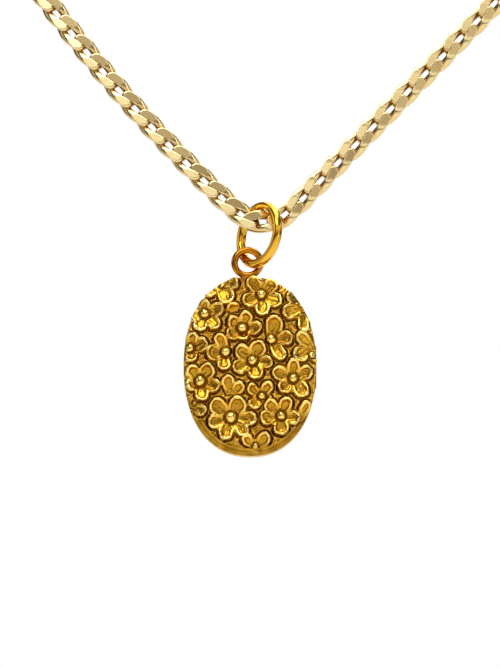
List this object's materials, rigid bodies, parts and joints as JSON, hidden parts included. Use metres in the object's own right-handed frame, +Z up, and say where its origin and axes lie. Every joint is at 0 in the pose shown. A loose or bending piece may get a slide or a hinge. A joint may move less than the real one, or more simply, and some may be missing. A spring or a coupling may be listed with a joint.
{
  "type": "locket",
  "caption": "Small oval opening locket with a flower-relief cover, hanging by a jump ring from a V of flat curb chain with end fittings.",
  "frame": {"origin": "midway between the clasp's mouth and the end tag's eye, at the eye's height, where the two ends of the chain are held", "axes": "+X to the right as seen from the front, -Y towards the viewer, +Z up; the chain lies in the XZ plane"},
  "size_m": [0.0606, 0.0057, 0.0566],
  "materials": {
    "locket_gold": "polished",
    "chain_gold": "polished",
    "clear_window": "clear",
    "photo_card": "matte",
    "spring_steel": "satin"
  },
  "bodies": {
    "chain_ends": {"end_tag": "chain_gold", "connector_ring": "chain_gold", "clasp_body": "chain_gold", "clasp_pin": "chain_gold", "clasp_spring": "spring_steel"},
    "clasp_lever": {"clasp_lever": "chain_gold"},
    "chain": {"chain_link_01": "chain_gold", "chain_link_02": "chain_gold", "chain_link_03": "chain_gold", "chain_link_04": "chain_gold", "chain_link_05": "chain_gold", "chain_link_06": "chain_gold", "chain_link_07": "chain_gold", "chain_link_08": "chain_gold", "chain_link_09": "chain_gold", "chain_link_10": "chain_gold", "chain_link_11": "chain_gold", "chain_link_12": "chain_gold", "chain_link_13": "chain_gold", "chain_link_14": "chain_gold", "chain_link_15": "chain_gold", "chain_link_16": "chain_gold", "chain_link_17": "chain_gold", "chain_link_18": "chain_gold", "chain_link_19": "chain_gold", "chain_link_20": "chain_gold", "chain_link_21": "chain_gold", "chain_link_22": "chain_gold", "chain_link_23": "chain_gold", "chain_link_24": "chain_gold", "chain_link_25": "chain_gold", "chain_link_26": "chain_gold", "chain_link_27": "chain_gold", "chain_link_28": "chain_gold"},
    "jump_ring": {"jump_ring": "locket_gold"},
    "case": {"back_case": "locket_gold", "case_knuckles": "locket_gold", "hinge_pin": "locket_gold", "inner_bezel": "locket_gold", "catch_ridge": "locket_gold", "bail_loop": "locket_gold", "back_photo_frame": "locket_gold", "back_window": "clear_window", "back_photo_card": "photo_card"},
    "cover": {"front_cover": "locket_gold", "cover_knuckles": "locket_gold", "front_photo_frame": "locket_gold", "front_window": "clear_window", "front_photo_card": "photo_card"}
  },
  "joints": [
    {"name": "clasp_lever_hinge", "type": "hinge", "parent": "chain_ends", "child": "clasp_lever", "pos_m": [-0.02859, 0.00127, 0.00055], "axis": [-0.5721, -0.7071, -0.4156], "range_deg": [0, 20], "stiffness_Nm_per_rad": 0.0002, "springref_deg": -11.46},
    {"name": "chain_swing", "type": "hinge", "parent": "chain_ends", "child": "chain", "pos_m": [-0.02392, 0, -0.00371], "axis": [0.9998, 0, 0.0199], "range_deg": [-12, 12]},
    {"name": "jump_ring_swing", "type": "hinge", "parent": "chain", "child": "jump_ring", "pos_m": [-0.00078, 0, -0.02737], "axis": [1, 0, 0], "range_deg": [-15, 2]},
    {"name": "locket_swing", "type": "hinge", "parent": "jump_ring", "child": "case", "pos_m": [-0.00224, 0.00097, -0.03214], "axis": [0.4949, -0.7285, -0.4738], "range_deg": [-20, 20]},
    {"name": "cover_hinge", "type": "hinge", "parent": "case", "child": "cover", "pos_m": [0.00417, 0.0006, -0.04292], "axis": [0, 0, 1], "range_deg": [0, 150]}
  ]
}
